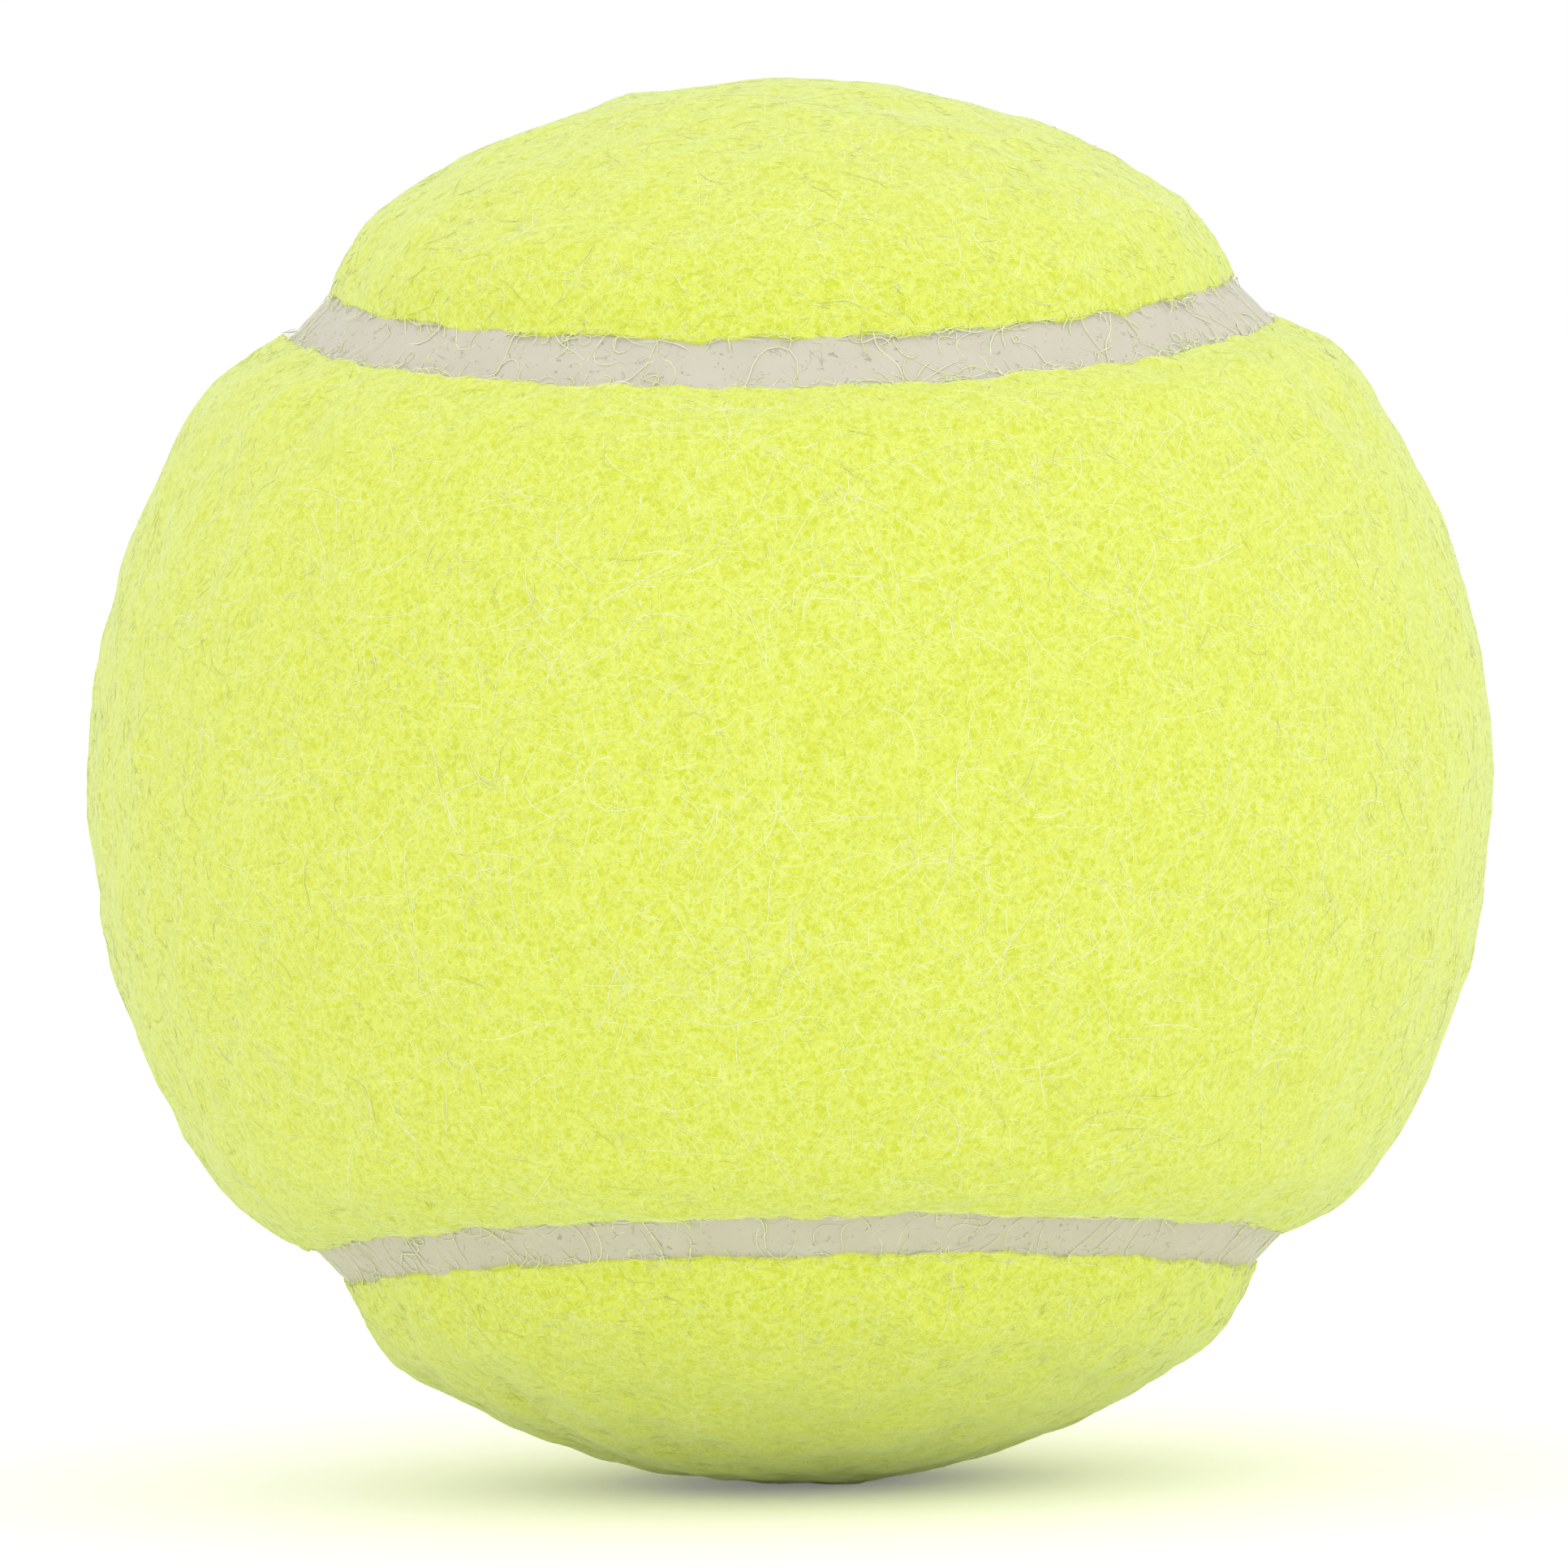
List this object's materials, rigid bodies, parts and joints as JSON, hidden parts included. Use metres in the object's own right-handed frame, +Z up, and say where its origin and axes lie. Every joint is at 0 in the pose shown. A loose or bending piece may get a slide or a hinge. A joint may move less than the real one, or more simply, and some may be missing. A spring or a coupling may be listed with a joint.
{
  "type": "tennis ball",
  "caption": "Felt-covered hollow rubber ball for tennis: bonded rubber core, dumbbell-shaped felt panels and a recessed rubber seam.",
  "frame": {"origin": "centre of the ball", "axes": "+Z up, the front felt panel's waist faces -Y with its lobes at +X and -X, the back panel's waist faces +Y with its lobes at +Z and -Z"},
  "size_m": [0.067, 0.067, 0.067],
  "materials": {
    "felt": "napped, fibrous, matt",
    "seam_rubber": "smooth, satin",
    "core_rubber": "moulded, buffed, matt",
    "cement": "cured film, satin"
  },
  "bodies": {
    "root": {"felt_panel_front": "felt", "felt_panel_back": "felt", "seam_rubber": "seam_rubber", "cover_cement": "cement", "core_half_upper": "core_rubber", "core_half_lower": "core_rubber", "core_bond_ring": "cement"}
  },
  "joints": []
}
